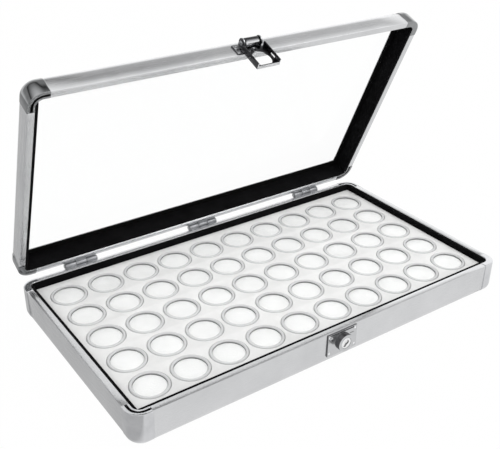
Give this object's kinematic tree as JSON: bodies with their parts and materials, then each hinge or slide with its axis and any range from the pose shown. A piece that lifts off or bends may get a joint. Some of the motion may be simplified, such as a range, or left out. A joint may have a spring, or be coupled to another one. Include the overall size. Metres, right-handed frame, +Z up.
{
  "type": "mineral specimen box",
  "caption": "Shallow aluminium display case with a hinged glass lid, key latch, black lining and a white foam insert of round clear specimen jars.",
  "frame": {"origin": "centre of the underside of the base, on the surface it rests on", "axes": "+X along the width to the right, +Y from the lock towards the hinges, +Z up"},
  "size_m": [0.3758, 0.2313, 0.2347],
  "materials": {
    "rail_metal": "fine brushed",
    "corner_metal": "polished",
    "hidden_metal": "plain",
    "panel_board": "hardboard",
    "black_felt": "matte felt",
    "black_rubber": "matte",
    "hinge_metal": "satin",
    "fitting_chrome": "polished",
    "glass": "clear",
    "white_foam": "soft closed-cell foam",
    "jar_clear": "clear"
  },
  "bodies": {
    "base": {"base_front_rail": "rail_metal", "base_rear_rail": "rail_metal", "base_left_rail": "rail_metal", "base_right_rail": "rail_metal", "base_corner_front_left": "corner_metal", "base_corner_front_right": "corner_metal", "base_corner_rear_left": "corner_metal", "base_corner_rear_right": "corner_metal", "base_corner_cores": "hidden_metal", "base_corner_rivets": "hidden_metal", "bottom_panel": "panel_board", "floor_liner": "black_felt", "base_lining_front": "black_felt", "base_lining_rear": "black_felt", "base_lining_left": "black_felt", "base_lining_right": "black_felt", "hinge_base_leaf_left": "hinge_metal", "hinge_base_leaf_middle": "hinge_metal", "hinge_base_leaf_right": "hinge_metal", "hinge_pin_left": "hinge_metal", "hinge_pin_middle": "hinge_metal", "hinge_pin_right": "hinge_metal", "hinge_base_rivets": "hidden_metal", "lock_plate": "fitting_chrome", "lock_housing": "hidden_metal", "lock_plate_rivets": "hidden_metal"},
    "lid": {"lid_front_rail": "rail_metal", "lid_rear_rail": "rail_metal", "lid_left_rail": "rail_metal", "lid_right_rail": "rail_metal", "lid_corner_front_left": "corner_metal", "lid_corner_front_right": "corner_metal", "lid_corner_rear_left": "corner_metal", "lid_corner_rear_right": "corner_metal", "lid_corner_cores": "hidden_metal", "lid_corner_rivets": "hidden_metal", "glass_pane": "glass", "glass_seal": "black_rubber", "lid_lining_front": "black_felt", "lid_lining_rear": "black_felt", "lid_lining_left": "black_felt", "lid_lining_right": "black_felt", "hinge_lid_leaf_left": "hinge_metal", "hinge_lid_leaf_middle": "hinge_metal", "hinge_lid_leaf_right": "hinge_metal", "hinge_lid_rivets": "hidden_metal", "latch_plate": "fitting_chrome", "latch_plate_rivets": "hidden_metal", "hasp_pin": "fitting_chrome"},
    "hasp": {"latch_hasp": "fitting_chrome"},
    "lock_core": {"lock_cylinder": "fitting_chrome"},
    "bolt": {"lock_bolt": "hidden_metal"},
    "insert": {"foam_insert": "white_foam", "jar_cups": "jar_clear", "jar_caps": "jar_clear", "jar_pads": "white_foam"},
    "sample_jar": {"sample_jar_cup": "jar_clear", "sample_jar_pad": "white_foam"},
    "sample_cap": {"sample_jar_cap": "jar_clear"}
  },
  "joints": [
    {"name": "lid_hinge", "type": "hinge", "parent": "base", "child": "lid", "pos_m": [0, 0.107, 0.0298], "axis": [-1, 0, 0], "range_deg": [-66.4, 33.6]},
    {"name": "hasp_hinge", "type": "hinge", "parent": "lid", "child": "hasp", "pos_m": [0, 0.02798, 0.23066], "axis": [-1, 0, 0], "range_deg": [0, 165]},
    {"name": "lock_turn", "type": "hinge", "parent": "base", "child": "lock_core", "pos_m": [0, -0.1035, 0.0192], "axis": [0, 1, 0], "range_deg": [0, 90]},
    {"name": "bolt_slide", "type": "slide", "parent": "base", "child": "bolt", "axis": [1, 0, 0], "range_m": [0, 0.00382]},
    {"name": "insert_lift", "type": "slide", "parent": "base", "child": "insert", "axis": [0, 0, 1], "range_m": [0, 0.03]},
    {"name": "sample_jar_lift", "type": "slide", "parent": "insert", "child": "sample_jar", "axis": [0, 0, 1], "range_m": [0, 0.05]},
    {"name": "sample_cap_lift", "type": "slide", "parent": "sample_jar", "child": "sample_cap", "axis": [0, 0, 1], "range_m": [0, 0.03]}
  ],
  "couplings": [
    {"joint": "lock_turn", "follows": "bolt_slide", "rad_per_m": 411.38}
  ]
}
